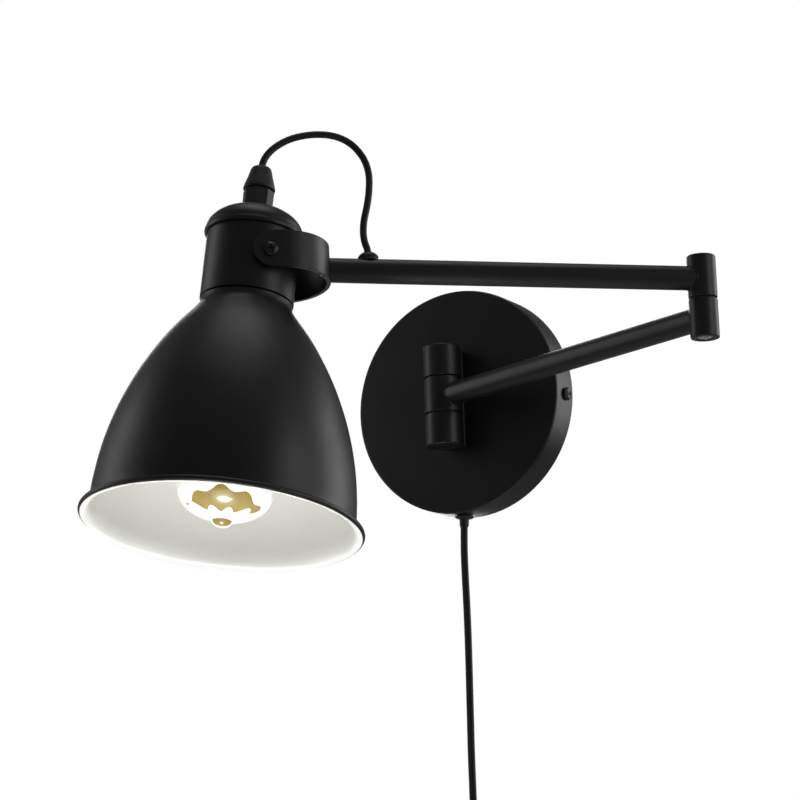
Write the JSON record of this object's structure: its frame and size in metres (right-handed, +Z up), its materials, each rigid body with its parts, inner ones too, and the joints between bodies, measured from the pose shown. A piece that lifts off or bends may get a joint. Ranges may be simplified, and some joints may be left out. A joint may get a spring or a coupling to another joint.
{
  "type": "swing arm wall sconce",
  "caption": "Plug-in wall sconce: round canopy, folding swing arm on vertical pivots, horseshoe bracket and tilting bell shade with a bare bulb.",
  "frame": {"origin": "centre of the mounting bar's wall face, on the wall, behind the canopy's centre", "axes": "+Y into the wall, +Z up, +X to the right for someone who faces the wall"},
  "size_m": [0.3151, 0.4159, 0.5766],
  "materials": {
    "satin_black": "satin black powder coat",
    "black_plastic": "matte moulded plastic",
    "plated_steel": "bright plated steel",
    "brass": "plain brass",
    "holder_plastic": "smooth black thermoset",
    "bulb_glass": "clear warm-tinted glass",
    "cord_sheath": "matte flexible sheath"
  },
  "bodies": {
    "wall_base": {"mounting_bar": "plated_steel", "canopy": "satin_black", "canopy_screw_right": "plated_steel", "canopy_screw_left": "plated_steel", "cord_bush": "black_plastic", "terminal_block": "holder_plastic", "fork_backplate": "plated_steel", "wall_fork": "satin_black", "fork_screw_upper": "plated_steel", "fork_screw_lower": "plated_steel", "pivot_cap_upper": "satin_black", "pivot_cap_lower": "satin_black", "wall_pivot_tube": "plated_steel", "power_cord": "cord_sheath", "power_cord_middle": "cord_sheath", "power_cord_coil": "cord_sheath", "power_cord_tail": "cord_sheath", "coil_tie": "black_plastic", "switch_shell_front": "black_plastic", "switch_shell_back": "black_plastic", "plug_body": "black_plastic", "plug_pin_left": "brass", "plug_pin_right": "brass"},
    "inner_arm": {"inner_arm_knuckle": "satin_black", "pivot_washer_upper": "black_plastic", "pivot_washer_lower": "black_plastic", "inner_arm_tube": "satin_black", "inner_arm_lead": "cord_sheath", "elbow_lower_knuckle": "satin_black", "elbow_pivot_screw": "plated_steel", "elbow_washer": "black_plastic"},
    "outer_arm": {"elbow_upper_knuckle": "satin_black", "outer_arm_tube": "satin_black", "arm_end_plug": "plated_steel", "outer_arm_lead": "cord_sheath", "lead_grommet": "black_plastic", "horseshoe_bracket": "satin_black", "toothed_washer": "plated_steel", "bracket_screw": "plated_steel", "jumper_lead": "cord_sheath"},
    "head": {"neck_housing": "satin_black", "neck_cap": "satin_black", "grip_body": "black_plastic", "grip_collet": "black_plastic", "holder_nipple": "plated_steel", "lamp_holder": "holder_plastic", "shade_ring": "holder_plastic", "shade": "satin_black", "bulb_cap": "brass", "bulb_glass": "bulb_glass", "bulb_stem": "bulb_glass", "trunnion_screw_near": "plated_steel", "trunnion_screw_far": "plated_steel", "trunnion_nut_near": "plated_steel", "trunnion_nut_far": "plated_steel"},
    "rocker": {"switch_rocker": "black_plastic"}
  },
  "joints": [
    {"name": "wall_swing", "type": "hinge", "parent": "wall_base", "child": "inner_arm", "pos_m": [0, -0.0405, 0], "axis": [0, 0, 1], "range_deg": [-159, 20]},
    {"name": "elbow_swing", "type": "hinge", "parent": "inner_arm", "child": "outer_arm", "pos_m": [0.22844, -0.12623, 0], "axis": [0, 0, 1], "range_deg": [-18, 252]},
    {"name": "head_tilt", "type": "hinge", "parent": "outer_arm", "child": "head", "pos_m": [0.03244, -0.30458, 0.024], "axis": [-0.6692, 0.7354, -0.1063], "range_deg": [-40, 25], "deforming": ["jumper_lead"]},
    {"name": "switch_rock", "type": "hinge", "parent": "wall_base", "child": "rocker", "pos_m": [-0.005, -0.0179, -0.2953], "axis": [1, 0, 0], "range_deg": [-14, 0]}
  ]
}
